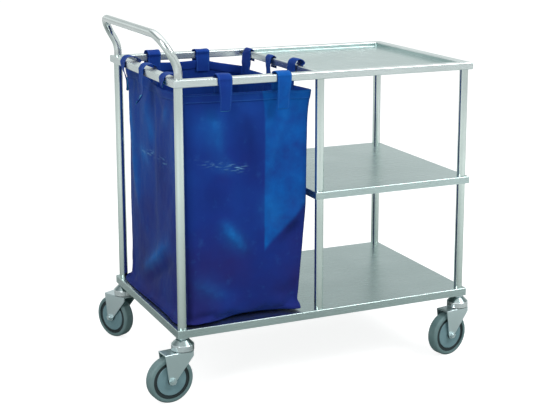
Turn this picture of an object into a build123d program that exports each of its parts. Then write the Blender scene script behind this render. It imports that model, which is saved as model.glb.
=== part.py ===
from build123d import *
from math import cos, radians, sin
import os

# Linen trolley: a welded stainless steel frame on four swivel castors, with a hanging fabric
# bag at the push end and two shelves at the other.
# Millimetres. X runs along the trolley with the push handle at -X, Y across it, Z up.
# The origin is on the floor under the middle of the deck.

# ---------------------------------------------------------------- driving dimensions
deck_length = 900
deck_width = 560
deck_top = 198
deck_skirt = 22
sheet = 1.5
lip = 5
fold_radius = 2
corner_radius = 4

shelf_top = 536.5
shelf_skirt = 20

frame_top = 870
rail_width = 30
rail_height = 20
rail_wall = 1.5
rail_corner = 2.5
divider_width = 10
divider_x = -34.5

post_diameter = 25
post_wall = 1.5
post_inset = 19
middle_post_x = -27
shelf_left = -45
post_hole_gap = 0.4

tray_slot = 6
tray_rim = 867
tray_depth = 9
tray_gap = 0.8
tray_corner = 6
tray_fold = 3

handle_diameter = 22
handle_wall = 1.5
handle_reach = 47
handle_rise = 115
handle_straight = 32
handle_knee_radius = 80
handle_corner_radius = 62

bag_wall = 2.5
bag_clearance = 0.3
bag_top = 820
bag_half_top = 247
bag_half_foot = 262
bag_left_top = -417.5
bag_left_foot = -414
bag_right_top = -42
bag_right_foot = -78
bag_corner = 9

strap_width = 40
strap_thick = 2
strap_gap = 0.5

wheel_diameter = 127
tyre_width = 32
tyre_inner = 52
tyre_shoulder = 7
castor_trail = 40
hub_length = 38
fork_inner = 40
fork_sheet = 3
axle_diameter = 10
sleeve_diameter = 14
running_gap = 0.05
seat_gap = 0.15
stem_diameter = 12
stem_bevel = 1
crown_top = 139
housing_top = 169
stem_collar = 4
stem_top = 238
bush_diameter = 27
bush_flange_diameter = 34
ball_radius = 3
ball_circle = 23
ball_count = 14
king_head_radius = 11
king_head_bottom = 127
king_head_bevel = 3
housing_radius = 31
housing_bottom = 141
housing_wall = 2.5
housing_roof = 9
housing_neck_radius = 18
housing_rim_drop = 13
housing_edge = 0.6
crown_radius = 30
crown_fold = 2.5
fork_front = 61
fork_back = -22
fork_heel_height = 125
leg_end_radius = 11
hex_flats = 16
hex_height = 6.5
bolt_spare = 3
cover_radius = 42
cover_thick = 2.5
cover_face = 15
cover_bevel = 1
cover_boss_radius = 20
cover_cone_radius = 27
rim_half_width = 13
rim_inner = 43
web_half = 3
hub_radius = 11.5

# ---------------------------------------------------------------- places worked out from them
post_x = deck_length / 2 - post_inset
post_y = deck_width / 2 - post_inset
rail_bottom = frame_top - rail_height
rail_middle = frame_top - rail_height / 2
bay_half_width = deck_width / 2 - rail_width
divider_right = divider_x + divider_width / 2
tray_left = divider_right + tray_slot
wheel_radius = wheel_diameter / 2
post_radius = post_diameter / 2
stem_radius = stem_diameter / 2
king_head_top = crown_top - fork_sheet - 2 * seat_gap
ball_height = crown_top + 2 * seat_gap + ball_radius
leg_outer = fork_inner / 2 + fork_sheet
bush_foot = housing_top + stem_collar

corners = {
    "front_left": (-post_x, -post_y),
    "front_right": (post_x, -post_y),
    "back_left": (-post_x, post_y),
    "back_right": (post_x, post_y),
}
# The way each castor trails at rest, in degrees from +X.
headings = {"front_left": 185, "front_right": 192, "back_left": 117, "back_right": 158}


def save(piece, name):
    piece.part.label = name
    export_step(piece.part, f"parts/{name}.step")


os.makedirs("parts", exist_ok=True)


# ---------------------------------------------------------------- deck and middle shelf
def folded_pan(left, right, top, skirt):
    """A sheet pan, open below, with skirts folded down and a small return lip."""
    length = right - left
    middle = (left + right) / 2
    with BuildPart() as pan:
        with BuildSketch(Plane.XY.offset(top)):
            with Locations((middle, 0)):
                RectangleRounded(length, deck_width, corner_radius)
        extrude(amount=-skirt)
        fillet(pan.faces().sort_by(Axis.Z)[-1].edges(), fold_radius)
        with BuildSketch(Plane.XY.offset(top - sheet)):
            with Locations((middle, 0)):
                RectangleRounded(length - 2 * sheet, deck_width - 2 * sheet, corner_radius - sheet)
        extrude(amount=-(skirt - 2 * sheet), mode=Mode.SUBTRACT)
        with BuildSketch(Plane.XY.offset(top - skirt + sheet)):
            with Locations((middle, 0)):
                Rectangle(length - 2 * lip, deck_width - 2 * lip)
        extrude(amount=-sheet, mode=Mode.SUBTRACT)
    return pan


def cut_round_holes(pan, places, radius):
    """The same pan with a round hole at each place."""
    with BuildPart() as drilled:
        add(pan.part)
        with Locations(*[(x, y, deck_top) for x, y in places]):
            Cylinder(radius, 2 * frame_top, mode=Mode.SUBTRACT)
    return drilled


deck = folded_pan(-deck_length / 2, deck_length / 2, deck_top, deck_skirt)
deck = cut_round_holes(deck, corners.values(), stem_radius + 1)
save(deck, "deck")

shelf_posts = [(middle_post_x, -post_y), (middle_post_x, post_y), (post_x, -post_y), (post_x, post_y)]
mid_shelf = folded_pan(shelf_left, deck_length / 2, shelf_top, shelf_skirt)
mid_shelf = cut_round_holes(mid_shelf, shelf_posts, post_radius + post_hole_gap)
save(mid_shelf, "mid_shelf")


# ---------------------------------------------------------------- posts
def make_post(name, x, y):
    with BuildPart() as post:
        with BuildSketch(Plane.XY.offset(deck_top)):
            with Locations((x, y)):
                Circle(post_radius)
                Circle(post_radius - post_wall, mode=Mode.SUBTRACT)
        extrude(amount=rail_bottom - deck_top)
    save(post, name)


for corner, (x, y) in corners.items():
    make_post(f"post_{corner}", x, y)
make_post("post_front_middle", middle_post_x, -post_y)
make_post("post_back_middle", middle_post_x, post_y)


# ---------------------------------------------------------------- top frame
def rail_section(plane, width):
    """The section of a rectangular tube, centred on the plane's origin."""
    with BuildSketch(plane) as section:
        RectangleRounded(width, rail_height, rail_corner)
        RectangleRounded(
            width - 2 * rail_wall, rail_height - 2 * rail_wall, rail_corner - rail_wall, mode=Mode.SUBTRACT
        )
    return section.sketch


def make_mitred_rail(name, corner, along, length):
    """An outer rail: a tube from its outer corner, both ends mitred at 45 degrees."""
    along = Vector(*along)
    outward = along.cross(Vector(0, 0, 1))
    start = Vector(*corner, rail_middle)
    tube_plane = Plane(origin=start - outward * (rail_width / 2), x_dir=outward, z_dir=along)
    start_mitre = Plane(origin=start, z_dir=along + outward)
    end_mitre = Plane(origin=start + along * length, z_dir=outward - along)
    with BuildPart() as rail:
        extrude(rail_section(tube_plane, rail_width), amount=length)
        split(bisect_by=start_mitre, keep=Keep.TOP)
        split(bisect_by=end_mitre, keep=Keep.TOP)
    save(rail, name)


half_length = deck_length / 2
half_width = deck_width / 2
make_mitred_rail("rail_front", (-half_length, -half_width), (1, 0, 0), deck_length)
make_mitred_rail("rail_right", (half_length, -half_width), (0, 1, 0), deck_width)
make_mitred_rail("rail_back", (half_length, half_width), (-1, 0, 0), deck_length)
make_mitred_rail("rail_left", (-half_length, half_width), (0, -1, 0), deck_width)

with BuildPart() as rail_divider:
    divider_plane = Plane(origin=(divider_x, -bay_half_width, rail_middle), x_dir=(1, 0, 0), z_dir=(0, 1, 0))
    extrude(rail_section(divider_plane, divider_width), amount=2 * bay_half_width)
save(rail_divider, "rail_divider")

# ---------------------------------------------------------------- sunken top tray
tray_right = half_length - rail_width - tray_gap
tray_length = tray_right - tray_left
tray_width = 2 * (bay_half_width - tray_gap)
tray_middle = (tray_left + tray_right) / 2
with BuildPart() as top_tray:
    with BuildSketch(Plane.XY.offset(tray_rim)):
        with Locations((tray_middle, 0)):
            RectangleRounded(tray_length, tray_width, tray_corner)
    extrude(amount=-(tray_depth + sheet))
    fillet(top_tray.faces().sort_by(Axis.Z)[0].edges(), tray_fold)
    with BuildSketch(Plane.XY.offset(tray_rim)):
        with Locations((tray_middle, 0)):
            RectangleRounded(tray_length - 2 * sheet, tray_width - 2 * sheet, tray_corner - sheet)
    extrude(amount=-tray_depth, mode=Mode.SUBTRACT)
    tray_floor = top_tray.faces().filter_by(Plane.XY).sort_by(Axis.Z)[1]
    fillet(tray_floor.edges(), tray_fold - sheet)
save(top_tray, "top_tray")

# ---------------------------------------------------------------- push handle
with BuildPart() as push_handle:
    with BuildLine() as handle_path:
        FilletPolyline(
            (-post_x, -post_y, frame_top),
            (-post_x, -post_y, frame_top + handle_straight),
            (-post_x - handle_reach, -post_y, frame_top + handle_rise),
            (-post_x - handle_reach, post_y, frame_top + handle_rise),
            (-post_x, post_y, frame_top + handle_straight),
            (-post_x, post_y, frame_top),
            radius=[handle_knee_radius, handle_corner_radius, handle_corner_radius, handle_knee_radius],
        )
    with BuildSketch(Plane(origin=(-post_x, -post_y, frame_top), z_dir=(0, 0, 1))):
        Circle(handle_diameter / 2)
        Circle(handle_diameter / 2 - handle_wall, mode=Mode.SUBTRACT)
    sweep(path=handle_path.wires()[0])
save(push_handle, "push_handle")


# ---------------------------------------------------------------- hanging bag
def bag_form(inset):
    """The bag's form: it narrows towards the foot along the trolley, and spreads a little across it."""
    foot = deck_top + bag_clearance + inset
    radius = bag_corner - inset
    foot_size = bag_right_foot - bag_left_foot - 2 * inset
    top_size = bag_right_top - bag_left_top - 2 * inset
    with BuildPart() as form:
        with BuildSketch(Plane.XY.offset(foot)):
            with Locations(((bag_left_foot + bag_right_foot) / 2, 0)):
                RectangleRounded(foot_size, 2 * (bag_half_foot - inset), radius)
        with BuildSketch(Plane.XY.offset(bag_top)):
            with Locations(((bag_left_top + bag_right_top) / 2, 0)):
                RectangleRounded(top_size, 2 * (bag_half_top - inset), radius)
        loft(ruled=True)
    return form.part


with BuildPart() as bag:
    add(bag_form(0))
    add(bag_form(bag_wall), mode=Mode.SUBTRACT)
save(bag, "bag")


# ---------------------------------------------------------------- straps that hang the bag
def make_straps(name, outward, face, width, places, inner_foot, tails):
    """Flat webbing over a rail: down its inner face to the bag, and down its outer face."""
    outward = Vector(*outward)
    along = outward.cross(Vector(0, 0, 1))
    outer = face + strap_gap
    inner = face - width - strap_gap
    roof = frame_top + strap_gap
    with BuildPart() as straps:
        for place, tail in zip(places, tails):
            middle = Vector(0, place, 0) if abs(outward.X) > 0 else Vector(place, 0, 0)
            with BuildSketch(Plane(origin=middle, x_dir=outward, z_dir=along)):
                Polygon(
                    (inner, inner_foot),
                    (inner, roof),
                    (outer, roof),
                    (outer, tail),
                    (outer + strap_thick, tail),
                    (outer + strap_thick, roof + strap_thick),
                    (inner - strap_thick, roof + strap_thick),
                    (inner - strap_thick, inner_foot),
                    align=None,
                )
            extrude(amount=strap_width / 2, both=True)
    save(straps, name)


strap_foot = bag_top - 14
make_straps("bag_straps_left", (-1, 0, 0), half_length, rail_width, (145, -22, -195), strap_foot, (786, 778, 843))
make_straps("bag_straps_front", (0, -1, 0), half_width, rail_width, (-310, -141), strap_foot, (782, 777))
make_straps("bag_straps_back", (0, 1, 0), half_width, rail_width, (-326, -174), strap_foot, (784, 786))
make_straps(
    "bag_straps_divider", (1, 0, 0), divider_right, divider_width, (216, 51, -112), strap_foot, (838, 838, 838)
)


# ---------------------------------------------------------------- castor fixings in the frame
with BuildPart() as deck_bushes:
    with BuildSketch(Plane.XY.offset(bush_foot)):
        with Locations(*corners.values()):
            Circle(bush_flange_diameter / 2)
    extrude(amount=deck_top - deck_skirt - bush_foot)
    with BuildSketch(Plane.XY.offset(deck_top - sheet)):
        with Locations(*corners.values()):
            Circle(bush_diameter / 2)
    extrude(amount=-(deck_skirt - sheet))
    with BuildSketch(Plane.XY.offset(deck_top)):
        with Locations(*corners.values()):
            Circle(stem_radius + 1)
    extrude(amount=-(deck_top - bush_foot), mode=Mode.SUBTRACT)
save(deck_bushes, "deck_bushes")

with BuildPart() as post_plugs:
    with BuildSketch(Plane.XY.offset(deck_top)):
        with Locations(*corners.values()):
            Circle(post_radius - post_wall - seat_gap)
            Circle(stem_radius + seat_gap, mode=Mode.SUBTRACT)
    extrude(amount=stem_top - deck_top)
save(post_plugs, "post_plugs")

with BuildPart() as swivel_balls:
    for x, y in corners.values():
        with Locations((x, y, ball_height)):
            with PolarLocations(ball_circle, ball_count):
                Sphere(ball_radius)
save(swivel_balls, "swivel_balls")


# ---------------------------------------------------------------- castors
def make_castor(corner, x, y, heading):
    turn = radians(heading)
    swivel = Plane(origin=(x, y, 0), x_dir=(cos(turn), sin(turn), 0), z_dir=(0, 0, 1))
    axle = swivel.y_dir
    hub = swivel.from_local_coords(Vector(castor_trail, 0, wheel_radius))
    side_view = Plane(origin=(x, y, 0), x_dir=swivel.x_dir, z_dir=-axle)
    wheel_section = Plane(origin=hub, x_dir=axle, z_dir=axle.cross(Vector(0, 0, 1)))
    wheel_axis = Axis(hub, axle)
    swivel_axis = Axis((x, y, 0), (0, 0, 1))

    with BuildPart() as stem:
        with BuildSketch(side_view):
            Polygon(
                (0, king_head_bottom),
                (king_head_radius - king_head_bevel, king_head_bottom),
                (king_head_radius, king_head_bottom + king_head_bevel),
                (king_head_radius, king_head_top),
                (stem_radius, king_head_top),
                (stem_radius, housing_top),
                (king_head_radius, housing_top),
                (king_head_radius, bush_foot),
                (stem_radius, bush_foot),
                (stem_radius, stem_top - stem_bevel),
                (stem_radius - stem_bevel, stem_top),
                (0, stem_top),
                align=None,
            )
        revolve(axis=swivel_axis)
    save(stem, f"castor_stem_{corner}")

    with BuildPart() as housing:
        with BuildSketch(side_view):
            Polygon(
                (stem_radius + seat_gap, housing_top),
                (housing_neck_radius, housing_top),
                (housing_radius, housing_top - housing_rim_drop),
                (housing_radius, housing_bottom),
                (housing_radius - housing_wall, housing_bottom),
                (housing_radius - housing_wall, housing_top - housing_rim_drop),
                (housing_neck_radius + housing_wall, housing_top - housing_roof),
                (stem_radius + seat_gap, housing_top - housing_roof),
                align=None,
            )
        revolve(axis=swivel_axis)
        fillet(housing.edges().filter_by(GeomType.CIRCLE).group_by(SortBy.RADIUS)[-1], housing_edge)
    save(housing, f"swivel_housing_{corner}")

    with BuildPart() as fork:
        with BuildSketch(Plane(origin=(x, y, crown_top), x_dir=swivel.x_dir, z_dir=(0, 0, 1))):
            with Locations(((fork_front + fork_back) / 2, 0)):
                Rectangle(fork_front - fork_back, 2 * leg_outer)
            Circle(crown_radius)
            Circle(stem_radius + running_gap, mode=Mode.SUBTRACT)
        extrude(amount=-fork_sheet)
        for side in (-1, 1):
            leg_plane = Plane(origin=side_view.origin + axle * (side * leg_outer), x_dir=swivel.x_dir, z_dir=-axle)
            with BuildSketch(leg_plane):
                with BuildLine():
                    toe = (castor_trail + leg_end_radius, wheel_radius)
                    heel = (castor_trail - leg_end_radius, wheel_radius)
                    Polyline(
                        heel,
                        (fork_back, fork_heel_height),
                        (fork_back, crown_top),
                        (fork_front, crown_top),
                        toe,
                    )
                    ThreePointArc(toe, (castor_trail, wheel_radius - leg_end_radius), heel)
                make_face()
                with Locations((castor_trail, wheel_radius)):
                    Circle(axle_diameter / 2 + seat_gap, mode=Mode.SUBTRACT)
            extrude(amount=side * fork_sheet)
        crown_edges = fork.faces().sort_by(Axis.Z)[-1].edges().filter_by(GeomType.LINE)
        fillet(crown_edges.sort_by(SortBy.LENGTH)[-3:], crown_fold)
    save(fork, f"fork_{corner}")

    with BuildPart() as bolt:
        bolt_start = Plane(origin=hub - axle * (leg_outer + hex_height), x_dir=swivel.x_dir, z_dir=axle)
        with BuildSketch(bolt_start):
            RegularPolygon(hex_flats / 2, 6, major_radius=False)
        extrude(amount=hex_height)
        with BuildSketch(bolt_start):
            Circle(axle_diameter / 2)
        extrude(amount=2 * leg_outer + 2 * hex_height + bolt_spare)
    save(bolt, f"axle_bolt_{corner}")

    with BuildPart() as nut:
        with BuildSketch(Plane(origin=hub + axle * leg_outer, x_dir=swivel.x_dir, z_dir=axle)):
            RegularPolygon(hex_flats / 2, 6, major_radius=False)
            Circle(axle_diameter / 2 + seat_gap, mode=Mode.SUBTRACT)
        extrude(amount=hex_height)
    save(nut, f"axle_nut_{corner}")

    with BuildPart() as sleeve:
        with BuildSketch(Plane(origin=hub - axle * (fork_inner / 2), x_dir=swivel.x_dir, z_dir=axle)):
            Circle(sleeve_diameter / 2)
            Circle(axle_diameter / 2 + seat_gap, mode=Mode.SUBTRACT)
        extrude(amount=fork_inner)
    save(sleeve, f"axle_sleeve_{corner}")

    with BuildPart() as core:
        bore = sleeve_diameter / 2 + running_gap
        with BuildSketch(wheel_section):
            with Locations((0, (bore + hub_radius) / 2)):
                Rectangle(hub_length, hub_radius - bore)
            with Locations((0, (hub_radius + rim_inner) / 2)):
                Rectangle(2 * web_half, rim_inner - hub_radius)
            with Locations((0, (rim_inner + tyre_inner) / 2)):
                Rectangle(2 * rim_half_width, tyre_inner - rim_inner)
        revolve(axis=wheel_axis)
    save(core, f"wheel_core_{corner}")

    with BuildPart() as tyre:
        with BuildSketch(wheel_section) as tyre_profile:
            with Locations((0, (tyre_inner + wheel_radius) / 2)):
                Rectangle(tyre_width, wheel_radius - tyre_inner)
            tread_corners = tyre_profile.vertices().group_by(Axis.Y)[-1]
            fillet(tread_corners, tyre_shoulder)
        revolve(axis=wheel_axis)
    save(tyre, f"tyre_{corner}")

    with BuildPart() as covers:
        for side in (-1, 1):
            with BuildSketch(wheel_section):
                Polygon(
                    (side * (cover_face - cover_thick), hub_radius + seat_gap),
                    (side * (cover_face + cover_bevel), hub_radius + seat_gap),
                    (side * (cover_face + cover_bevel), cover_boss_radius),
                    (side * cover_face, cover_cone_radius),
                    (side * cover_face, cover_radius - cover_bevel),
                    (side * (cover_face - cover_bevel), cover_radius),
                    (side * (cover_face - cover_thick), cover_radius),
                    align=None,
                )
            revolve(axis=wheel_axis)
    save(covers, f"hub_covers_{corner}")


for corner, (x, y) in corners.items():
    make_castor(corner, x, y, headings[corner])
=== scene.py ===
import bpy
import math
from mathutils import Matrix, Vector, noise


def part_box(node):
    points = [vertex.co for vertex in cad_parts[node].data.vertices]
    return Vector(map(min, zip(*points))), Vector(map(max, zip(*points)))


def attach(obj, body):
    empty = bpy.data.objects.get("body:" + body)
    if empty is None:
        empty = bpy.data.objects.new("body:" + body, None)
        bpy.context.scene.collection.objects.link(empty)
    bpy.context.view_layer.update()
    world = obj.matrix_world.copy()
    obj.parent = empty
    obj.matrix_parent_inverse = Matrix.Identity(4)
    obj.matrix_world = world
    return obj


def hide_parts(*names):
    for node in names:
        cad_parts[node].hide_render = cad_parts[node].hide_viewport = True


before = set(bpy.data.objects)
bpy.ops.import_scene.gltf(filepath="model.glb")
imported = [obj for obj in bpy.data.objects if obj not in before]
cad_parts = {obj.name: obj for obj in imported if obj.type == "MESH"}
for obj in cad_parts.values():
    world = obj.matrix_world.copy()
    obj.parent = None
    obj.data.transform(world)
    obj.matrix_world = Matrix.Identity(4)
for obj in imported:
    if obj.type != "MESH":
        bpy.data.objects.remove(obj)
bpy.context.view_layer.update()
ROOT = "trolley_frame"

# ---------------------------------------------------------------- places read from the frame
rail_front_low, rail_front_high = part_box("rail_front")
rail_left_low, rail_left_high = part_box("rail_left")
rail_back_low, rail_back_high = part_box("rail_back")
divider_low, divider_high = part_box("rail_divider")
deck_low, deck_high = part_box("deck")
bag_low, bag_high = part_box("bag")
shelf_low, shelf_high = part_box("mid_shelf")
DECK_TOP = deck_high.z


# ---------------------------------------------------------------- material helpers
def new_material(name):
    material = bpy.data.materials.new(name)
    material.use_nodes = True
    shader = material.node_tree.nodes["Principled BSDF"]
    return material, material.node_tree, shader


def add_node(tree, kind, **settings):
    node = tree.nodes.new(kind)
    for key, value in settings.items():
        if isinstance(node.inputs.get(key.replace("_", " ").title()), bpy.types.NodeSocket):
            node.inputs[key.replace("_", " ").title()].default_value = value
        else:
            setattr(node, key, value)
    return node


def stretched_noise(tree, stretch, scale, detail=4.0):
    """Noise in the object's own metres, stretched along the axes where stretch is small."""
    place = add_node(tree, "ShaderNodeTexCoord")
    squeeze = add_node(tree, "ShaderNodeMapping")
    squeeze.inputs["Scale"].default_value = stretch
    grain = add_node(tree, "ShaderNodeTexNoise", scale=scale, detail=detail)
    tree.links.new(place.outputs["Object"], squeeze.inputs["Vector"])
    tree.links.new(squeeze.outputs["Vector"], grain.inputs["Vector"])
    return grain.outputs["Fac"]


def ramp(tree, source, stops):
    node = tree.nodes.new("ShaderNodeValToRGB")
    tree.links.new(source, node.inputs["Fac"])
    while len(node.color_ramp.elements) < len(stops):
        node.color_ramp.elements.new(0.5)
    for element, (place, colour) in zip(node.color_ramp.elements, stops):
        element.position = place
        element.color = (*colour, 1.0)
    return node.outputs["Color"]


def remap(tree, source, low, high):
    node = tree.nodes.new("ShaderNodeMapRange")
    node.inputs["To Min"].default_value = low
    node.inputs["To Max"].default_value = high
    tree.links.new(source, node.inputs["Value"])
    return node.outputs["Result"]


def bump(tree, shader, height, strength, distance):
    node = tree.nodes.new("ShaderNodeBump")
    node.inputs["Strength"].default_value = strength
    node.inputs["Distance"].default_value = distance
    tree.links.new(height, node.inputs["Height"])
    tree.links.new(node.outputs["Normal"], shader.inputs["Normal"])


def steel(name, dark, light, rough, stretch, scale, depth):
    """Satin stainless steel: fine brush lines along one axis and a faint cloudiness."""
    material, tree, shader = new_material(name)
    lines = stretched_noise(tree, stretch, scale)
    clouds = stretched_noise(tree, (1, 1, 1), 6.0, 2.0)
    tree.links.new(ramp(tree, clouds, [(0.35, dark), (0.7, light)]), shader.inputs["Base Color"])
    tree.links.new(remap(tree, lines, rough[0], rough[1]), shader.inputs["Roughness"])
    bump(tree, shader, lines, 0.10, depth)
    shader.inputs["Metallic"].default_value = 1.0
    return material


tube_steel_z = steel("steel_tube_upright", (0.67, 0.76, 0.73), (0.75, 0.85, 0.81), (0.13, 0.21),
    (400, 400, 6), 1.0, 0.00006)
tube_steel_x = steel("steel_rail_along", (0.69, 0.77, 0.76), (0.78, 0.86, 0.85), (0.24, 0.32),
    (6, 400, 400), 1.0, 0.00006)
tube_steel_y = steel("steel_rail_across", (0.69, 0.77, 0.76), (0.78, 0.86, 0.85), (0.24, 0.32),
    (400, 6, 400), 1.0, 0.00006)
sheet_steel = steel("steel_sheet", (0.50, 0.61, 0.60), (0.56, 0.67, 0.66), (0.24, 0.32), (8, 500, 500), 1.0,
    0.00005)
handle_steel = steel("steel_handle", (0.67, 0.73, 0.72), (0.76, 0.82, 0.81), (0.15, 0.22), (90, 90, 90),
    3.0, 0.00004)
zinc = steel("zinc_plate", (0.66, 0.79, 0.80), (0.80, 0.90, 0.92), (0.26, 0.38), (12, 12, 12), 3.0, 0.00002)


def moulded(name, dark, light, rough, grain_scale, depth):
    """Rubber or plastic with a fine moulded grain and uneven colour."""
    material, tree, shader = new_material(name)
    grain = stretched_noise(tree, (1, 1, 1), grain_scale, 3.0)
    clouds = stretched_noise(tree, (1, 1, 1), 30.0, 3.0)
    tree.links.new(ramp(tree, clouds, [(0.3, dark), (0.7, light)]), shader.inputs["Base Color"])
    tree.links.new(remap(tree, grain, rough[0], rough[1]), shader.inputs["Roughness"])
    bump(tree, shader, grain, 0.4, depth)
    return material


rubber = moulded("grey_rubber", (0.115, 0.195, 0.200), (0.165, 0.255, 0.260), (0.42, 0.6), 900.0, 0.0003)
cover_plastic = moulded("grey_plastic", (0.145, 0.255, 0.285), (0.175, 0.290, 0.320), (0.3, 0.42), 700.0,
    0.0002)
dark_plastic = moulded("dark_plastic", (0.012, 0.022, 0.025), (0.02, 0.034, 0.038), (0.35, 0.5), 700.0,
    0.0002)

# ---------------------------------------------------------------- the CAD pieces' finishes
housing_zinc = steel("zinc_housing", (0.82, 0.90, 0.92), (0.94, 0.98, 1.00), (0.18, 0.28), (12, 12, 12),
    3.0, 0.00002)
# Painted shade: the base colour given to the housing's cone above its rim.
CONE_SHADE = (0.34, 0.43, 0.43)


def paint_cone_shade(material, rim_top):
    """Paints the pressed cone of a swivel housing darker than its rim: painted shade for the dark deck
    underside the cone faces.
    """
    tree = material.node_tree
    shader = tree.nodes["Principled BSDF"]
    plain = shader.inputs["Base Color"].links[0].from_socket
    place = tree.nodes.new("ShaderNodeTexCoord")
    parts = tree.nodes.new("ShaderNodeSeparateXYZ")
    tree.links.new(place.outputs["Object"], parts.inputs["Vector"])
    mask = tree.nodes.new("ShaderNodeMapRange")
    mask.interpolation_type = "SMOOTHSTEP"
    mask.inputs["From Min"].default_value = rim_top
    mask.inputs["From Max"].default_value = rim_top + 0.003
    tree.links.new(parts.outputs["Z"], mask.inputs["Value"])
    mix = tree.nodes.new("ShaderNodeMix")
    mix.data_type = "RGBA"
    tree.links.new(mask.outputs["Result"], mix.inputs["Factor"])
    tree.links.new(plain, mix.inputs[6])
    mix.inputs[7].default_value = (*CONE_SHADE, 1)
    tree.links.new(mix.outputs[2], shader.inputs["Base Color"])


paint_cone_shade(housing_zinc, 0.1555)
FINISHES = {
    "swivel_housing": housing_zinc,
    "post_plugs": dark_plastic,
    "deck_bushes": zinc,
    "post": tube_steel_z,
    "rail_front": tube_steel_x,
    "rail_back": tube_steel_x,
    "rail": tube_steel_y,
    "push_handle": handle_steel,
    "deck": sheet_steel,
    "mid_shelf": sheet_steel,
    "top_tray": sheet_steel,
    "tyre": rubber,
    "hub_covers": cover_plastic,
    "wheel_core": dark_plastic,
}
for name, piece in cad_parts.items():
    finish = next((FINISHES[key] for key in FINISHES if name.startswith(key)), zinc)
    piece.data.materials.clear()
    piece.data.materials.append(finish)


# ---------------------------------------------------------------- bag cloth
def math_node(tree, operation, one, two=0.0, three=0.0):
    node = tree.nodes.new("ShaderNodeMath")
    node.operation = operation
    for socket, value in zip(node.inputs, (one, two, three)):
        if isinstance(value, (int, float)):
            socket.default_value = value
        else:
            tree.links.new(value, socket)
    return node.outputs["Value"]


def mix_colour(tree, share, one, two):
    node = tree.nodes.new("ShaderNodeMix")
    node.data_type = "RGBA"
    for socket, value in ((node.inputs["Factor"], share), (node.inputs["A"], one), (node.inputs["B"], two)):
        if isinstance(value, tuple):
            socket.default_value = (*value, 1.0)
        elif isinstance(value, float):
            socket.default_value = value
        else:
            tree.links.new(value, socket)
    return node.outputs["Result"]


def band(tree, value, middle, half):
    """1 where value is at middle, falling to 0 at half away from it."""
    away = math_node(tree, "ABSOLUTE", math_node(tree, "SUBTRACT", value, middle))
    return math_node(tree, "MAXIMUM",
        math_node(tree, "SUBTRACT", 1.0, math_node(tree, "DIVIDE", away, half)), 0.0)


def rise(tree, value, start, end):
    """0 up to start, 1 from end on."""
    node = tree.nodes.new("ShaderNodeMapRange")
    node.interpolation_type = "SMOOTHSTEP"
    node.inputs["From Min"].default_value = start
    node.inputs["From Max"].default_value = end
    tree.links.new(value, node.inputs["Value"])
    return node.outputs["Result"]


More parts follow.
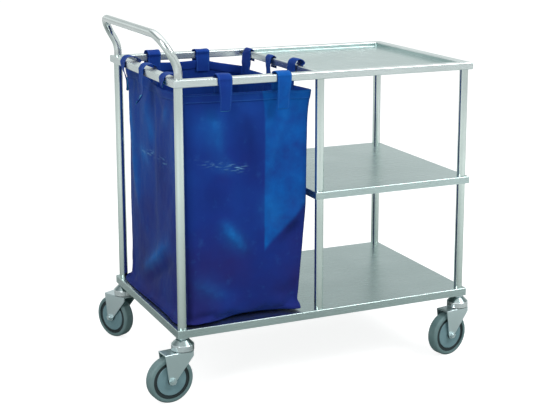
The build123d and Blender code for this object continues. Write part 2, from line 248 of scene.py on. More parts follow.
def cloth_material(name, shades, thread, stitch_lines=()):
    """Coated plain-weave cloth. Its UVs are in metres. stitch_lines are where rows of stitches run, in V."""
    material, tree, shader = new_material(name)
    place = tree.nodes.new("ShaderNodeTexCoord")
    flat = tree.nodes.new("ShaderNodeSeparateXYZ")
    tree.links.new(place.outputs["UV"], flat.inputs["Vector"])
    u, v = flat.outputs["X"], flat.outputs["Y"]
    warp = math_node(tree, "SINE", math_node(tree, "MULTIPLY", u, 2 * math.pi / THREAD))
    weft = math_node(tree, "SINE", math_node(tree, "MULTIPLY", v, 2 * math.pi / THREAD))
    weave = math_node(tree, "MULTIPLY", warp, weft)
    clouds = stretched_noise(tree, (1, 1, 1), 7.0, 3.0)
    wear_and_sheen_noise = stretched_noise(tree, (1, 1, 1), 42.0, 6.0)
    solid = tree.nodes.new("ShaderNodeSeparateXYZ")
    tree.links.new(place.outputs["Object"], solid.inputs["Vector"])
    x, y, z = solid.outputs["X"], solid.outputs["Y"], solid.outputs["Z"]
    tone = math_node(tree, "MULTIPLY_ADD", rise(tree, z, 0.18, 0.85), 0.45,
        math_node(tree, "MULTIPLY_ADD", clouds, 0.9, -0.2))
    colour = ramp(tree, tone, [(0.15, shades[0]), (0.50, shades[1]), (0.85, shades[2])])
    # Painted sheen: on the front, right of the vertical crease and above the dent's diagonal edge, the cloth
    # is painted a lighter cyan blue where its coating catches light from the right, broken up by noise.
    below_line = math_node(tree, "MULTIPLY_ADD", x, -0.94, z)
    sheen_panel = math_node(tree, "MULTIPLY", rise(tree, x, -0.191, -0.184), rise(tree, below_line, 0.552, 0.572))
    sheen_panel = math_node(tree, "MULTIPLY", sheen_panel,
        rise(tree, math_node(tree, "MULTIPLY", y, -1.0), 0.20, 0.215))
    uneven = math_node(tree, "MULTIPLY_ADD", wear_and_sheen_noise, 0.9, -0.40)
    sheen_panel = math_node(tree, "MULTIPLY", sheen_panel, math_node(tree, "MULTIPLY_ADD", clouds, 1.1, uneven))
    colour = mix_colour(tree, sheen_panel, colour, PAINTED_SHEEN)
    # Painted highlight and painted shade along the listed folds: a per-point value, paler cyan where above
    # zero and darker navy where below.
    folds = tree.nodes.new("ShaderNodeAttribute")
    folds.attribute_name = "painted_fold_light_and_shade"
    fold_highlight_and_shade = math_node(tree, "MULTIPLY", folds.outputs["Fac"],
        math_node(tree, "MULTIPLY_ADD", wear_and_sheen_noise, 1.0, 0.16))
    colour = mix_colour(tree, math_node(tree, "MINIMUM", math_node(tree, "MAXIMUM", fold_highlight_and_shade, 0.0), 1.0),
        colour, FOLD_HIGHLIGHT)
    shade = math_node(tree, "MAXIMUM", math_node(tree, "MULTIPLY", folds.outputs["Fac"], -0.8), 0.0)
    colour = mix_colour(tree, math_node(tree, "MINIMUM", shade, 0.7), colour, SHADE)
    worn = math_node(tree, "MULTIPLY", math_node(tree, "SUBTRACT", wear_and_sheen_noise, 0.60), 0.9)
    worn = math_node(tree, "MAXIMUM", worn, 0.0)
    colour = mix_colour(tree, worn, colour, WORN)
    height = math_node(tree, "MULTIPLY_ADD", weave, 0.10, math_node(tree, "MULTIPLY", wear_and_sheen_noise, 0.9))

    crease_height = math_node(tree, "MULTIPLY_ADD", x, -0.19, 0.570)
    crease_height = math_node(tree, "MULTIPLY_ADD", rise(tree, x, -0.385, -0.398), -0.028, crease_height)
    crumple = rise(tree, stretched_noise(tree, (0.55, 0.55, 2.6), 80.0, 5.0), 0.48, 0.70)
    near_crease = band(tree, z, crease_height, 0.016)
    patches = rise(tree, stretched_noise(tree, (1, 1, 0.2), 17.0, 1.0), 0.44, 0.58)
    crumple = math_node(tree, "MULTIPLY", math_node(tree, "MULTIPLY", near_crease, crumple), patches)
    crumple = math_node(tree, "MULTIPLY", crumple, rise(tree, x, -0.205, -0.235))
    colour = mix_colour(tree, math_node(tree, "MULTIPLY", crumple, 0.55), colour, CREASE_WHITE)
    height = math_node(tree, "MULTIPLY_ADD", crumple, 3.0, height)

    for line in stitch_lines:
        row = math_node(tree, "GREATER_THAN", band(tree, v, line, 0.0011), 0.2)
        dash = math_node(tree, "SINE", math_node(tree, "MULTIPLY", u, 2 * math.pi / STITCH))
        stitch = math_node(tree, "MULTIPLY", row, math_node(tree, "GREATER_THAN", dash, -0.45))
        colour = mix_colour(tree, math_node(tree, "MULTIPLY", stitch, 0.4), colour, thread)
        height = math_node(tree, "MULTIPLY_ADD", stitch, 0.6, height)
    tree.links.new(colour, shader.inputs["Base Color"])
    bump(tree, shader, height, 0.55, 0.0012)
    tree.links.new(remap(tree, wear_and_sheen_noise, 0.36, 0.52), shader.inputs["Roughness"])
    shader.inputs["Specular Tint"].default_value = (0.15, 0.80, 1.0, 1.0)
    shader.inputs["Specular IOR Level"].default_value = 0.03
    shader.inputs["Sheen Weight"].default_value = 0.05
    shader.inputs["Sheen Roughness"].default_value = 0.45
    shader.inputs["Sheen Tint"].default_value = (0.10, 0.55, 0.9, 1.0)
    return material


THREAD = 0.0018
STITCH = 0.0042
WORN = (0.030, 0.150, 0.420)
# Painted sheen for the front panel's right part.
PAINTED_SHEEN = (0.006, 0.110, 0.420)
# The next two: painted highlight on fold ridges, and painted shade in fold hollows.
FOLD_HIGHLIGHT = (0.012, 0.150, 0.480)
SHADE = (0.008, 0.014, 0.110)
CREASE_WHITE = (0.22, 0.50, 0.75)
PALE_THREAD = (0.05, 0.17, 0.48)
BLUES = ((0.020, 0.021, 0.142), (0.012, 0.032, 0.215), (0.011, 0.051, 0.275))
cloth = cloth_material("blue_cloth", BLUES, PALE_THREAD)
hem_cloth = cloth_material("blue_hem", BLUES, PALE_THREAD, (0.004, 0.022))
strap_cloth = cloth_material("blue_strap", BLUES, PALE_THREAD, (0.004,))
grip_cloth = cloth_material("touch_fastener", ((0.03, 0.17, 0.40), (0.04, 0.22, 0.44), (0.06, 0.26, 0.46)),
    PALE_THREAD)

# ---------------------------------------------------------------- bag: the cut cloth before it hangs
# Each side of the bag at five heights, as points (x, y) in metres from one corner to the next,
# going round from the front left corner: front, right, back, left.
TOP_LOOP = [
    [(-0.4150, -0.2455), (-0.3100, -0.2465), (-0.2200, -0.2440), (-0.1370, -0.2465), (-0.0440, -0.2455)],
    [(-0.0440, -0.2455), (-0.0450, -0.0950), (-0.0470, 0.0500), (-0.0450, 0.1950), (-0.0450, 0.2455)],
    [(-0.0450, 0.2455), (-0.1800, 0.2465), (-0.2600, 0.2440), (-0.3300, 0.2465), (-0.4150, 0.2455)],
    [(-0.4150, 0.2455), (-0.4165, 0.1300), (-0.4150, 0.0500), (-0.4165, -0.0350), (-0.4165, -0.2000),
        (-0.4150, -0.2455)],
]
CHEST_LOOP = [
    [(-0.4130, -0.2470), (-0.3300, -0.2530), (-0.1870, -0.2620), (-0.1200, -0.2530), (-0.0550, -0.2440)],
    [(-0.0550, -0.2440), (-0.0500, -0.1300), (-0.0570, 0.0300), (-0.0500, 0.1500), (-0.0540, 0.2460)],
    [(-0.0540, 0.2460), (-0.1700, 0.2550), (-0.2900, 0.2480), (-0.4020, 0.2450)],
    [(-0.4020, 0.2450), (-0.4090, 0.1200), (-0.4060, -0.0200), (-0.4110, -0.1500), (-0.4130, -0.2470)],
]
WAIST_LOOP = [
    [(-0.4110, -0.2480), (-0.3200, -0.2550), (-0.1870, -0.2630), (-0.1200, -0.2540), (-0.0590, -0.2440)],
    [(-0.0590, -0.2440), (-0.0540, -0.1300), (-0.0650, 0.0300), (-0.0560, 0.1500), (-0.0610, 0.2460)],
    [(-0.0610, 0.2460), (-0.1700, 0.2560), (-0.2900, 0.2470), (-0.4080, 0.2450)],
    [(-0.4080, 0.2450), (-0.4080, 0.1200), (-0.4030, -0.0200), (-0.4090, -0.1500), (-0.4110, -0.2480)],
]
KNEE_LOOP = [
    [(-0.4110, -0.2480), (-0.3400, -0.2600), (-0.2100, -0.2480), (-0.1300, -0.2500), (-0.0860, -0.2500)],
    [(-0.0860, -0.2500), (-0.0900, -0.1300), (-0.0820, 0.0300), (-0.0900, 0.1500), (-0.0850, 0.2560)],
    [(-0.0850, 0.2560), (-0.1700, 0.2520), (-0.2900, 0.2600), (-0.4060, 0.2470)],
    [(-0.4060, 0.2470), (-0.4150, 0.1200), (-0.4130, -0.0200), (-0.4160, -0.1500), (-0.4110, -0.2480)],
]
FOOT_LOOP = [
    [(-0.4130, -0.2440), (-0.4020, -0.2680), (-0.3500, -0.2670), (-0.2560, -0.2240), (-0.1880, -0.2280),
        (-0.1150, -0.2560), (-0.0780, -0.2600)],
    [(-0.0780, -0.2600), (-0.0880, -0.1500), (-0.0780, 0.0200), (-0.0860, 0.1500), (-0.0800, 0.2640)],
    [(-0.0800, 0.2640), (-0.1700, 0.2540), (-0.2800, 0.2700), (-0.4000, 0.2680), (-0.4130, 0.2440)],
    [(-0.4130, 0.2440), (-0.4400, 0.2250), (-0.4430, 0.0700), (-0.4380, -0.0900), (-0.4420, -0.2200),
        (-0.4130, -0.2440)],
]
KNEE, WAIST, CHEST = 0.265, 0.500, 0.765
COLUMNS = (31, 41, 31, 41)
ROWS = 51
FOOT_HEIGHT = DECK_TOP + 0.0025


def smooth_run(points, count):
    """count + 1 evenly spaced points on a smooth curve through the given ones."""
    points = [Vector(point) for point in points]
    padded = [2 * points[0] - points[1], *points, 2 * points[-1] - points[-2]]
    dense = []
    for i in range(1, len(padded) - 2):
        before, start, end, after = padded[i - 1 : i + 3]
        for step in range(16):
            t = step / 16
            curve = 2 * start + (end - before) * t + (2 * before - 5 * start + 4 * end - after) * t * t
            dense.append(0.5 * (curve + (3 * start - before - 3 * end + after) * t**3))
    dense.append(points[-1])
    travelled = [0.0]
    for one, two in zip(dense, dense[1:]):
        travelled.append(travelled[-1] + (two - one).length)
    run = []
    place = 0
    for k in range(count + 1):
        goal = travelled[-1] * k / count
        while place < len(dense) - 2 and travelled[place + 1] < goal:
            place += 1
        span = travelled[place + 1] - travelled[place]
        run.append(dense[place].lerp(dense[place + 1], (goal - travelled[place]) / span))
    return run


def smooth_step(low, high, value):
    share = min(max((value - low) / (high - low), 0.0), 1.0)
    return share * share * (3 - 2 * share)


def closed_loop(sides):
    """The four sides' points in one ring, each corner once."""
    return [point for side, count in zip(sides, COLUMNS) for point in smooth_run(side, count)[:-1]]


def bag_cut():
    """The bag's wall and floor as one open grid, before it hangs. Row 0 of the wall is the foot."""
    loops = [closed_loop(loop) for loop in (FOOT_LOOP, KNEE_LOOP, WAIST_LOOP, CHEST_LOOP, TOP_LOOP)]
    foot, top = loops[0], loops[-1]
    around = len(top)
    hems = hem_heights(top)
    walls = []
    for column in range(around):
        levels = (FOOT_HEIGHT, KNEE, WAIST, CHEST, hems[column])
        wall = []
        for row in range(ROWS + 1):
            height = FOOT_HEIGHT + (hems[column] - FOOT_HEIGHT) * row / ROWS
            stage = max(k for k in range(4) if height >= levels[k] - 0.0001)
            share = (height - levels[stage]) / (levels[stage + 1] - levels[stage])
            wall.append(loops[stage][column].lerp(loops[stage + 1][column], share))
        for _ in range(3):
            wall = [wall[0], *[(a + 2 * b + c) / 4 for a, b, c in zip(wall, wall[1:], wall[2:])], wall[-1]]
        walls.append(wall)
    vertices, faces = [], []
    for row in range(ROWS + 1):
        for column in range(around):
            height = FOOT_HEIGHT + (hems[column] - FOOT_HEIGHT) * row / ROWS
            vertices.append((walls[column][row].x, walls[column][row].y, height))
    for row in range(ROWS):
        for column in range(around):
            after = (column + 1) % around
            base = row * around
            faces.append((base + column, base + after, base + around + after, base + around + column))
    wide, deep = COLUMNS[0], COLUMNS[1]
    index = {}
    for i in range(wide + 1):
        for j in range(deep + 1):
            if j == 0:
                index[i, j] = i
            elif i == wide:
                index[i, j] = wide + j
            elif j == deep:
                index[i, j] = wide + deep + (wide - i)
            elif i == 0:
                index[i, j] = 2 * wide + deep + (deep - j)
            else:
                u, v = i / wide, j / deep
                front, back = foot[i], foot[wide + deep + wide - i]
                right, left = foot[wide + j], foot[2 * wide + deep + deep - j]
                corners = foot[0] * (1 - u) * (1 - v) + foot[wide] * u * (1 - v)
                corners += foot[wide + deep] * u * v + foot[2 * wide + deep] * (1 - u) * v
                spot = front * (1 - v) + back * v + left * (1 - u) + right * u - corners
                index[i, j] = len(vertices)
                vertices.append((spot.x, spot.y, FOOT_HEIGHT))
    for i in range(wide):
        for j in range(deep):
            faces.append((index[i, j], index[i, j + 1], index[i + 1, j + 1], index[i + 1, j]))
    return vertices, faces, around


def link_mesh(name, vertices, faces, material=None):
    mesh = bpy.data.meshes.new(name)
    mesh.from_pydata(vertices, [], faces)
    thing = bpy.data.objects.new(name, mesh)
    bpy.context.scene.collection.objects.link(thing)
    if material:
        mesh.materials.append(material)
    return thing


def block(low, high):
    corners = [(x, y, z) for x in (low[0], high[0]) for y in (low[1], high[1]) for z in (low[2], high[2])]
    return corners, [(0, 1, 3, 2), (4, 6, 7, 5), (0, 4, 5, 1), (2, 3, 7, 6), (0, 2, 6, 4), (1, 5, 7, 3)]


def make_collider(vertices, faces):
    solid = link_mesh("collider", vertices, faces)
    solid.modifiers.new("hit", "COLLISION")
    solid.collision.thickness_outer = 0.0015
    solid.collision.cloth_friction = 12.0
    return solid


def round_collider(x, y, radius, low, high, sides=20):
    turns = [2 * math.pi * k / sides for k in range(sides)]
    ring = [(x + radius * math.cos(turn), y + radius * math.sin(turn)) for turn in turns]
    vertices = [(*spot, low) for spot in ring] + [(*spot, high) for spot in ring]
    faces = [(k, (k + 1) % sides, sides + (k + 1) % sides, sides + k) for k in range(sides)]
    return make_collider(vertices, faces)


def hang_cloth(piece, pinned, frames):
    """Lets the cloth hang from its pinned points, and keeps the shape it comes to."""
    scene = bpy.context.scene
    colliders = [
        make_collider(*block((-0.7, -0.6, DECK_TOP - 0.1), (0.6, 0.6, DECK_TOP))),
        make_collider(*block((shelf_low.x, -0.3, shelf_low.z), (0.3, 0.3, shelf_high.z))),
    ]
    for name in ("post_front_left", "post_back_left", "post_front_middle", "post_back_middle"):
        low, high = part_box(name)
        middle = (low + high) / 2
        colliders.append(round_collider(middle.x, middle.y, (high.x - low.x) / 2, low.z - 0.05, high.z))
    group = piece.vertex_groups.new(name="pin")
    for vertex, weight in pinned.items():
        group.add([vertex], weight, "REPLACE")
    cloth_modifier = piece.modifiers.new("cloth", "CLOTH")
    settings = cloth_modifier.settings
    settings.quality = 6
    settings.mass = 0.25
    settings.air_damping = 3.0
    settings.tension_stiffness = 30
    settings.compression_stiffness = 30
    settings.shear_stiffness = 12
    settings.bending_stiffness = 2.5
    settings.tension_damping = 12
    settings.compression_damping = 12
    settings.shear_damping = 12
    settings.bending_damping = 2
    settings.vertex_group_mass = "pin"
    settings.shrink_min = -CLOTH_SLACK
    cloth_modifier.collision_settings.distance_min = 0.002
    cloth_modifier.point_cache.frame_start = 1
    cloth_modifier.point_cache.frame_end = frames
    scene.frame_start, scene.frame_end = 1, frames
    for step in range(1, frames + 1):
        scene.frame_set(step)
    hung = bpy.data.meshes.new_from_object(piece.evaluated_get(bpy.context.evaluated_depsgraph_get()))
    piece.modifiers.clear()
    piece.vertex_groups.clear()
    piece.data = hung
    scene.frame_set(1)
    for solid in colliders:
        bpy.data.objects.remove(solid)


CLOTH_SLACK = 0.008
SIM_FRAMES = 45
PIN_HALF = 0.019
# Where the straps hold the bag: place along each side, and the height of the hem there.
HELD = {
    "front": ((-0.310, 0.824), (-0.141, 0.822)),
    "right": ((-0.112, 0.812), (0.051, 0.816), (0.216, 0.814)),
    "back": ((-0.174, 0.845), (-0.326, 0.843)),
    "left": ((0.145, 0.838), (-0.022, 0.823), (-0.195, 0.826)),
}
CORNER_HEMS = (0.826, 0.817, 0.819, 0.840)


def side_of(column):
    """Which side of the bag a column is on."""
    for side, count in zip(("front", "right", "back", "left"), COLUMNS):
        if column < count:
            return side
        column -= count


def hem_heights(ring):
    """How high the hem starts at each column: straight lines between the straps and the corners."""
    stops = []
    first = 0
    for side, count, corner_hem in zip(HELD, COLUMNS, CORNER_HEMS):
        stops.append((first, corner_hem))
        axis = 0 if side in ("front", "back") else 1
        for place, height in HELD[side]:
            nearest = min(range(first, first + count), key=lambda column: abs(ring[column][axis] - place))
            stops.append((nearest, height))
        first += count
    stops.append((first, CORNER_HEMS[0]))
    heights = []
    for (one, low), (two, high) in zip(stops, stops[1:]):
        heights += [low + (high - low) * k / (two - one) for k in range(two - one)]
    return heights


vertices, faces, around = bag_cut()
bag = link_mesh("bag_cloth", vertices, faces, cloth)
pinned = {}
for row in (ROWS - 1, ROWS):
    for column in range(around):
        vertex = row * around + column
        x, y, z = vertices[vertex]
        side = side_of(column)
        spot = x if side in ("front", "back") else y
        held = any(abs(spot - place) < PIN_HALF for place, height in HELD[side])
        pinned[vertex] = 1.0 if held else 0.0
    for corner in (0, COLUMNS[0], sum(COLUMNS[:2]), sum(COLUMNS[:3])):
        pinned[row * around + corner] = 1.0
hang_cloth(bag, pinned, SIM_FRAMES)

# Creases from storage and pulls from the straps: side, two ends as (place along the side, height),
# how far the cloth stands out there (minus for a hollow) and how wide the crease spreads.
FOLDS = (
    ("front", (-0.187, 0.830), (-0.188, 0.400), 0.0060, 0.030),
    ("front", (-0.119, 0.770), (-0.183, 0.600), 0.0060, 0.018),
    ("front", (-0.070, 0.780), (-0.115, 0.640), -0.0040, 0.020),
    ("front", (-0.068, 0.500), (-0.150, 0.420), 0.0130, 0.024),
    ("front", (-0.075, 0.450), (-0.120, 0.405), -0.0110, 0.026),
    ("front", (-0.318, 0.480), (-0.245, 0.392), 0.0065, 0.020),
    ("front", (-0.300, 0.430), (-0.220, 0.350), -0.0050, 0.026),
    ("front", (-0.345, 0.790), (-0.352, 0.680), 0.0060, 0.030),
    ("front", (-0.285, 0.800), (-0.258, 0.730), 0.0045, 0.015),
    ("front", (-0.395, 0.330), (-0.300, 0.260), 0.0050, 0.030),
    ("front", (-0.250, 0.300), (-0.130, 0.275), 0.0060, 0.028),
    ("left", (0.215, 0.740), (0.126, 0.470), 0.0110, 0.020),
    ("left", (0.066, 0.235), (-0.141, 0.345), -0.0110, 0.018),
    ("left", (0.090, 0.270), (-0.120, 0.395), 0.0120, 0.024),
    ("left", (0.020, 0.800), (0.085, 0.690), 0.0055, 0.018),
    ("left", (-0.120, 0.790), (-0.055, 0.670), 0.0060, 0.022),
    ("left", (0.150, 0.520), (0.080, 0.380), 0.0050, 0.030),
    ("left", (-0.180, 0.600), (-0.120, 0.480), -0.0050, 0.030),
    ("right", (-0.110, 0.780), (-0.020, 0.620), 0.0060, 0.022),
    ("right", (0.120, 0.500), (0.000, 0.360), 0.0070, 0.030),
    ("right", (-0.180, 0.340), (-0.050, 0.270), 0.0060, 0.026),
    ("back", (-0.200, 0.800), (-0.230, 0.480), 0.0075, 0.040),
    ("back", (-0.330, 0.620), (-0.250, 0.450), 0.0060, 0.024),
    ("back", (-0.120, 0.420), (-0.220, 0.330), 0.0070, 0.026),
)
# Painted highlight along fold ridges and painted shade in hollows: the same kind of list,
# with a strength in place of the reach (minus for painted shade).
PAINTED_FOLD_LIGHT = (
    ("front", (-0.306, 0.472), (-0.250, 0.396), 1.50, 0.013),
    ("front", (-0.345, 0.790), (-0.310, 0.660), 0.75, 0.030),
    ("front", (-0.119, 0.770), (-0.183, 0.600), 0.60, 0.008),
    ("front", (-0.180, 0.540), (-0.140, 0.440), 0.90, 0.024),
    ("front", (-0.075, 0.470), (-0.130, 0.415), -0.90, 0.022),
    ("front", (-0.400, 0.320), (-0.300, 0.270), 0.45, 0.020),
    ("front", (-0.245, 0.790), (-0.215, 0.600), -0.75, 0.034),
    ("front", (-0.370, 0.560), (-0.300, 0.520), -0.45, 0.040),
    ("front", (-0.330, 0.630), (-0.240, 0.610), 0.50, 0.018),
    ("front", (-0.250, 0.310), (-0.120, 0.290), -0.40, 0.030),
    ("left", (0.205, 0.690), (0.126, 0.470), 1.10, 0.020),
    ("left", (0.225, 0.790), (0.180, 0.640), 0.90, 0.020),
    ("left", (0.090, 0.270), (-0.120, 0.395), 1.00, 0.018),
    ("left", (0.066, 0.235), (-0.141, 0.339), -0.90, 0.014),
    ("left", (0.060, 0.760), (0.000, 0.640), 0.70, 0.026),
    ("left", (-0.090, 0.660), (-0.030, 0.520), -0.70, 0.034),
    ("left", (0.120, 0.625), (0.040, 0.590), 0.90, 0.018),
    ("left", (-0.140, 0.790), (-0.080, 0.720), 0.60, 0.020),
    ("right", (-0.110, 0.780), (-0.020, 0.620), 0.60, 0.018),
    ("right", (0.120, 0.500), (0.000, 0.360), 0.60, 0.022),
    ("back", (-0.330, 0.620), (-0.250, 0.450), 0.60, 0.018),
    ("back", (-0.120, 0.420), (-0.220, 0.330), 0.60, 0.018),
)
OUTWARD = {"front": (0, -1), "right": (1, 0), "back": (0, 1), "left": (-1, 0)}


def fold_amount(folds, side, place, height):
    """How far the folds push the cloth out at a point on one side."""
    total = 0.0
    for fold_side, one, two, reach, spread in folds:
        if fold_side != side:
            continue
        run, rise = two[0] - one[0], two[1] - one[1]
        share = ((place - one[0]) * run + (height - one[1]) * rise) / (run * run + rise * rise)
        near = min(max(share, 0.0), 1.0)
        away = math.hypot(place - one[0] - near * run, height - one[1] - near * rise)
        total += reach * math.exp(-away / spread) * math.sin(math.pi * (0.12 + 0.76 * near))
    return total


def crease_bag(mesh):
    """Adds the folds and a slight unevenness, kept clear of the hem, the foot and the posts."""
    # Also stores, per point, the painted fold highlight and painted shade for the cloth's colour.
    fold_highlight_and_shade = mesh.attributes.new("painted_fold_light_and_shade", "FLOAT", "POINT")
    for row in range(1, ROWS - 1):
        for column in range(around):
            vertex = mesh.vertices[row * around + column]
            side = side_of(column)
            x, y, z = vertex.co
            place = x if side in ("front", "back") else y
            first = sum(COLUMNS[: list(HELD).index(side)])
            from_corner = min(column - first, first + COLUMNS[list(HELD).index(side)] - column)
            calm = smooth_step(0, 3, from_corner) * smooth_step(0, 5, ROWS - 1 - row) * smooth_step(0, 4,
                row)
            uneven = 0.0030 * noise.noise(Vector((x, y, z)) * 11) + 0.0012 * noise.noise(Vector((x, y,
                z)) * 34)
            push = calm * (fold_amount(FOLDS, side, place, z) + uneven)
            fold_highlight_and_shade.data[vertex.index].value = calm * fold_amount(PAINTED_FOLD_LIGHT, side, place, z)
            out_x, out_y = OUTWARD[side]
            vertex.co = (x + out_x * push, y + out_y * push, z)


crease_bag(bag.data)


def set_uvs(piece, uv_of_corner):
    """UVs in metres. uv_of_corner gives a face corner's UV from its vertex and its face's first vertex."""
    layer = piece.data.uv_layers.new(name="cloth")
    for polygon in piece.data.polygons:
        for loop in polygon.loop_indices:
            layer.data[loop].uv = uv_of_corner(piece.data.loops[loop].vertex_index, polygon.vertices[0])


def ring_uv(step_u, step_v, around, wall_count):
    """UVs for a closed ring of columns, step_u wide, in rows step_v apart; past wall_count, the floor."""
    def uv_of_corner(vertex, first):
        if first >= wall_count or vertex >= wall_count:
            spot = bag.data.vertices[vertex].co
            return (spot.x, spot.y)
        row, column = divmod(vertex, around)
        if column == 0 and first % around == around - 1:
            column = around
        return (column * step_u, row * step_v)
    return uv_of_corner


set_uvs(bag, ring_uv(0.0121, 0.0120, around, (ROWS + 1) * around))


def finish_cloth(piece, thickness, levels, *nodes):
    """Gives a sheet its thickness, rounds it, keeps the result and attaches it to the frame."""
    wall = piece.modifiers.new("wall", "SOLIDIFY")
    wall.thickness = thickness
    wall.offset = 0.0
    finer = piece.modifiers.new("finer", "SUBSURF")
    finer.levels = finer.render_levels = levels
    view = bpy.context.evaluated_depsgraph_get()
    shaped = bpy.data.meshes.new_from_object(piece.evaluated_get(view))
    piece.modifiers.clear()
    piece.data = shaped
    piece.data.polygons.foreach_set("use_smooth", [True] * len(piece.data.polygons))
    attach(piece, ROOT)
    if nodes:
        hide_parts(*nodes)


# ---------------------------------------------------------------- hem round the mouth of the bag
def make_hem():
    """A folded band over the bag's top edge, from the hung cloth's own top rows."""
    mesh = bag.data
    edge_rows = (ROWS - 2, ROWS - 1, ROWS)
    rows = []
    for side in (1, -1):
        for row in edge_rows if side == 1 else reversed(edge_rows):
            ring = []
            for column in range(around):
                vertex = mesh.vertices[row * around + column]
                ring.append(vertex.co + vertex.normal * (side * HEM_GAP) + Vector((0, 0,
                    HEM_GAP if row == ROWS else 0)))
            rows.append(ring)
    points = [tuple(point) for ring in rows for point in ring]
    quads = []
    for row in range(len(rows) - 1):
        for column in range(around):
            after = (column + 1) % around
            base = row * around
            quads.append((base + column, base + after, base + around + after, base + around + column))
    return link_mesh("bag_hem", points, quads, hem_cloth)


HEM_GAP = 0.0014
hem = make_hem()
set_uvs(hem, ring_uv(0.0121, 0.0130, around, 6 * around))
finish_cloth(bag, 0.0012, 1, "bag")
finish_cloth(hem, 0.0010, 1)


# ---------------------------------------------------------------- straps
def ribbon(name, frame_of, stations, material, pieces_across=6):
    """A flat strap along its stations: (outward, height, along, half width, twist), in metres and degrees."""
    middle, outward, sideways = frame_of
    outward, sideways, up = Vector(outward), Vector(sideways), Vector((0, 0, 1))
    line = [Vector(station[:3]) for station in stations]
    spread = [Vector((station[3], math.radians(station[4]), 0)) for station in stations]
    count = 9 * (len(stations) - 1)
    path, widths = [], []
    for k in range(len(stations) - 1):
        before, start, end, after = (
            line[max(k - 1, 0)], line[k], line[k + 1], line[min(k + 2, len(line) - 1)],
        )
        for step in range(9):
            t = step / 9
            curve = 2 * start + (end - before) * t + (2 * before - 5 * start + 4 * end - after) * t * t
            path.append(0.5 * (curve + (3 * start - before - 3 * end + after) * t**3))
            widths.append(spread[k].lerp(spread[k + 1], smooth_step(0, 1, t)))
    path.append(line[-1])
    widths.append(spread[-1])
    points, quads = [], []
    for k, (spot, (half, twist, _)) in enumerate(zip(path, widths)):
        step = path[min(k + 1, count)] - path[max(k - 1, 0)]
        tangent = (outward * step.x + up * step.y + sideways * step.z).normalized()
        across = (Matrix.Rotation(twist, 3,
            tangent) @ (sideways - tangent * sideways.dot(tangent))).normalized()
        face = tangent.cross(across)
        centre = Vector(middle) + outward * spot.x + up * spot.y + sideways * spot.z
        for j in range(pieces_across + 1):
            share = 2 * j / pieces_across - 1
            crown = 0.0009 * (1 - share * share) + 0.0007 * noise.noise(centre * 45 + Vector((share * 2, 0,
                0)))
            points.append(centre + across * (half * share) + face * crown)
    stride = pieces_across + 1
    for k in range(count):
        for j in range(pieces_across):
            quads.append((k * stride + j, k * stride + j + 1, (k + 1) * stride + j + 1,
                (k + 1) * stride + j))
    strap = link_mesh(name, [tuple(point) for point in points], quads, material)
    travelled = [0.0]
    for one, two in zip(path, path[1:]):
        travelled.append(travelled[-1] + (two - one).length)
    edge = [min(j, pieces_across - j) / pieces_across for j in range(stride)]
    set_uvs(strap, lambda vertex, first: (travelled[vertex // stride], edge[vertex % stride] * 0.040))
    return strap


RAIL_HALF = (rail_front_high.y - rail_front_low.y) / 2
SIDES = {
    "front": ((0, rail_front_low.y + RAIL_HALF, 0), (0, -1, 0), (1, 0, 0)),
    "back": ((0, rail_back_high.y - RAIL_HALF, 0), (0, 1, 0), (1, 0, 0)),
    "left": ((rail_left_low.x + RAIL_HALF, 0, 0), (-1, 0, 0), (0, 1, 0)),
    "divider": (((divider_low.x + divider_high.x) / 2, 0, 0), (1, 0, 0), (0, 1, 0)),
}


def over_rail(half_rail, place, half, hem_height, rise, lift, lean=0.0):
    """A strap's stations from its sewn end inside the bag, up and over the rail, to the rail's outer face."""
    inner, outer = -half_rail - 0.0030, half_rail + 0.0032
    return [
        (inner - 0.0042, hem_height - 0.034, place, half, 0),
        (inner - 0.0040, hem_height - 0.010, place, half, 0),
        (inner - 0.0036, hem_height + 0.004, place, half, 0),
        (inner - lift * 0.6, 0.861, place + lean * 0.3, half, 0),
        (inner - lift, 0.871, place + lean * 0.5, half, 0),
        (inner * 0.55, 0.870 + rise, place + lean * 0.7, half, 0),
        (outer * 0.45, 0.869 + rise, place + lean, half, 0),
        (outer - 0.0005, 0.8685, place + lean, half, 0),
        (outer, 0.860, place + lean, half, 0),
    ]


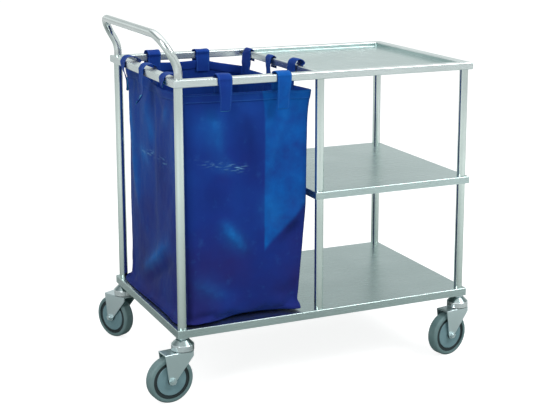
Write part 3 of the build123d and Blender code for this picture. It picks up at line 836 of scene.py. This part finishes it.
straps = {
    "strap_front_1": ("front", over_rail(RAIL_HALF, -0.310, 0.0205, 0.824, 0.008, 0.002)
        + [(0.0185, 0.840, -0.309, 0.0185, 0), (0.0150, 0.812, -0.308, 0.0165, 3),
            (0.0110, 0.782, -0.308, 0.0160, 2)]),
    "strap_front_2": ("front", over_rail(RAIL_HALF, -0.141, 0.0210, 0.822, 0.006, 0.003)
        + [(0.0185, 0.840, -0.142, 0.0200, 0), (0.0150, 0.810, -0.143, 0.0185, -3),
            (0.0105, 0.777, -0.143, 0.0180, -2)]),
    "strap_back_1": ("back", over_rail(RAIL_HALF, -0.326, 0.0200, 0.843, 0.010, 0.006)
        + [(0.0185, 0.840, -0.326, 0.0190, 0), (0.0160, 0.812, -0.325, 0.0180, 4),
            (0.0130, 0.784, -0.324, 0.0180, 2)]),
    "strap_back_2": ("back", over_rail(RAIL_HALF, -0.174, 0.0220, 0.845, 0.006, 0.003)
        + [(0.0185, 0.840, -0.174, 0.0200, 0), (0.0165, 0.812, -0.175, 0.0190, -5),
            (0.0140, 0.786, -0.176, 0.0190, -3)]),
    "strap_left_1": ("left", over_rail(RAIL_HALF, 0.145, 0.0210, 0.838, 0.012, 0.012)
        + [(0.0170, 0.842, 0.142, 0.0180, 10), (0.0110, 0.822, 0.140, 0.0150, 20),
            (0.0085, 0.802, 0.138, 0.0130, 26), (0.0095, 0.786, 0.137, 0.0110, 30)]),
    "strap_left_2": ("left", over_rail(RAIL_HALF, -0.022, 0.0205, 0.823, 0.011, 0.008)
        + [(0.0200, 0.840, -0.028, 0.0190, 4), (0.0190, 0.816, -0.030, 0.0180, 8),
            (0.0200, 0.798, -0.031, 0.0165, 12), (0.0280, 0.785, -0.033, 0.0150, 22), (0.0370, 0.7785,
                -0.036, 0.0140, 30)]),
    "strap_left_3": ("left", over_rail(RAIL_HALF, -0.195, 0.0200, 0.826, 0.008, 0.007)
        + [(0.0190, 0.852, -0.197, 0.0160, 10), (0.0200, 0.843, -0.199, 0.0110, 20)]),
    "strap_divider_1": ("divider",
        [(-0.0125, 0.780, 0.212, 0.0225, 0), (-0.0125, 0.810, 0.212, 0.0235, 4),
            (-0.0120, 0.835, 0.212, 0.0245, 12),
        (-0.0100, 0.858, 0.214, 0.0240, 10), (-0.0070, 0.870, 0.216, 0.0225, 2), (0.0000, 0.8760, 0.216,
            0.0220, 0),
        (0.0070, 0.870, 0.216, 0.0220, 0), (0.0082, 0.855, 0.216, 0.0220, 0), (0.0082, 0.838, 0.216, 0.0210,
            0)]),
    "strap_divider_2": ("divider",
        [(-0.0125, 0.782, 0.040, 0.0200, 0), (-0.0125, 0.812, 0.040, 0.0200, 0),
            (-0.0120, 0.835, 0.044, 0.0200, -6),
        (-0.0100, 0.858, 0.049, 0.0215, -4), (-0.0070, 0.870, 0.051, 0.0220, 0), (0.0000, 0.8755, 0.051,
            0.0220, 0),
        (0.0070, 0.870, 0.051, 0.0220, 0), (0.0082, 0.855, 0.051, 0.0210, 0), (0.0082, 0.838, 0.051, 0.0210,
            0)]),
    "strap_divider_3": ("divider",
        [(-0.0125, 0.776, -0.112, 0.0220, 0), (-0.0125, 0.806, -0.112, 0.0220, 0),
            (-0.0115, 0.835, -0.112, 0.0225, 4),
        (-0.0110, 0.860, -0.114, 0.0230, 6), (-0.0090, 0.876, -0.117, 0.0225, 4), (0.0000, 0.8850, -0.120,
            0.0220, 0),
        (0.0110, 0.8840, -0.122, 0.0220, -2), (0.0170, 0.8760, -0.122, 0.0220, -4), (0.0120, 0.8695, -0.122,
            0.0220, -2),
        (0.0084, 0.862, -0.121, 0.0220, 0), (0.0082, 0.838, -0.120, 0.0210, 0)]),
}
NODE_OF = {
    "front": "bag_straps_front",
    "back": "bag_straps_back",
    "left": "bag_straps_left",
    "divider": "bag_straps_divider",
}
for name, (side, stations) in straps.items():
    strap = ribbon(name, SIDES[side], stations, strap_cloth)
    finish_cloth(strap, 0.0018, 1, NODE_OF[side])
    length = sum(math.dist(one[:3], two[:3]) for one, two in zip(stations, stations[1:]))
    if side != "divider":
        face = 0.0020 if name == "strap_left_2" else -0.0017
        grip_stations = [(out + face, height, along, half * 0.82, twist) for out, height, along, half,
            twist in stations[-3:]]
        out, height, along, half, twist = grip_stations[-1]
        grip_stations[-1] = (out, height - 0.0015, along, half, twist)
        grip = ribbon(name + "_grip", SIDES[side], grip_stations, grip_cloth)
        finish_cloth(grip, 0.0012, 1)

# ---------------------------------------------------------------- camera, light, floor
CAMERA_PLACE = (-1.5226, -3.3536, 1.3608)
CAMERA_YAW = 0.4589
CAMERA_PITCH = 0.2044
CAMERA_ROLL = 0.0075
CAMERA_LENS = 83.8
CAMERA_SHIFT = (-0.1, -0.1)

camera_data = bpy.data.cameras.new("camera")
camera_data.lens = CAMERA_LENS
camera_data.shift_x, camera_data.shift_y = CAMERA_SHIFT
camera_data.clip_end = 50.0
camera = bpy.data.objects.new("camera", camera_data)
bpy.context.scene.collection.objects.link(camera)
camera.matrix_world = (
    Matrix.Translation(CAMERA_PLACE)
    @ Matrix.Rotation(-CAMERA_YAW, 4, "Z")
    @ Matrix.Rotation(math.pi / 2 - CAMERA_PITCH, 4, "X")
    @ Matrix.Rotation(CAMERA_ROLL, 4, "Z")
)
bpy.context.scene.camera = camera


def area_light(name, place, target, size, power, colour=(1, 1, 1)):
    data = bpy.data.lights.new(name, "AREA")
    data.shape = "RECTANGLE"
    data.size, data.size_y = size
    data.energy = power
    data.color = colour
    lamp = bpy.data.objects.new(name, data)
    bpy.context.scene.collection.objects.link(lamp)
    lamp.location = place
    lamp.rotation_euler = (Vector(target) - Vector(place)).to_track_quat("-Z", "Y").to_euler()
    return lamp


area_light("key", (2.2, -2.3, 3.4), (-0.1, 0, 0.5), (1.8, 1.8), 92)
area_light("left", (-3.0, -2.0, 2.2), (0, 0, 0.5), (1.0, 2.2), 42)
area_light("top", (0.3, 0.8, 3.4), (0, 0, 0.5), (4.6, 4.6), 45)


def seen_by_camera(tree):
    return tree.nodes.new("ShaderNodeLightPath").outputs["Is Camera Ray"]


world = bpy.data.worlds.new("studio")
bpy.context.scene.world = world
world.use_nodes = True
tree = world.node_tree
direction = tree.nodes.new("ShaderNodeTexCoord")
split = tree.nodes.new("ShaderNodeSeparateXYZ")
tree.links.new(direction.outputs["Generated"], split.inputs["Vector"])
sky = ramp(
    tree,
    split.outputs["Z"],
    [(0.0, (0.62, 0.65, 0.64)), (0.16, (0.92, 0.96, 0.95)), (0.34, (0.50, 0.54, 0.54)),
        (0.6, (0.30, 0.33, 0.34)), (0.95, (0.9, 0.9, 0.9))],
)
tree.links.new(mix_colour(tree, seen_by_camera(tree), sky, (1.0, 1.0, 1.0)),
    tree.nodes["Background"].inputs["Color"])

FLOOR_SIZE = 60.0
half = FLOOR_SIZE / 2
floor = link_mesh("floor", [(-half, -half, 0), (half, -half, 0), (half, half, 0), (-half, half, 0)],
    [(0, 1, 2, 3)])
floor_material, tree, shader = new_material("pale_floor")
floor_place = tree.nodes.new("ShaderNodeTexCoord")
away = tree.nodes.new("ShaderNodeVectorMath")
away.operation = "LENGTH"
tree.links.new(floor_place.outputs["Object"], away.inputs[0])
# Painted shade on the floor, seen only in reflections and by bounced light: darker close to the trolley,
# paler far away.
painted_floor_shade = ramp(
    tree,
    math_node(tree, "DIVIDE", away.outputs["Value"], 8.0),
    [(0.08, (0.30, 0.33, 0.32)), (0.30, (0.60, 0.63, 0.62)), (0.55, (0.95, 0.95, 0.95))],
)
camera_ray = seen_by_camera(tree)
tree.links.new(mix_colour(tree, camera_ray, painted_floor_shade, (0.40, 0.40, 0.40)), shader.inputs["Base Color"])
shader.inputs["Emission Color"].default_value = (1.0, 1.0, 1.0, 1.0)
tree.links.new(math_node(tree, "MULTIPLY", camera_ray, 0.84), shader.inputs["Emission Strength"])
shader.inputs["Roughness"].default_value = 1.0
shader.inputs["Specular IOR Level"].default_value = 0.0
floor.data.materials.append(floor_material)
bpy.context.scene.view_settings.view_transform = "Standard"
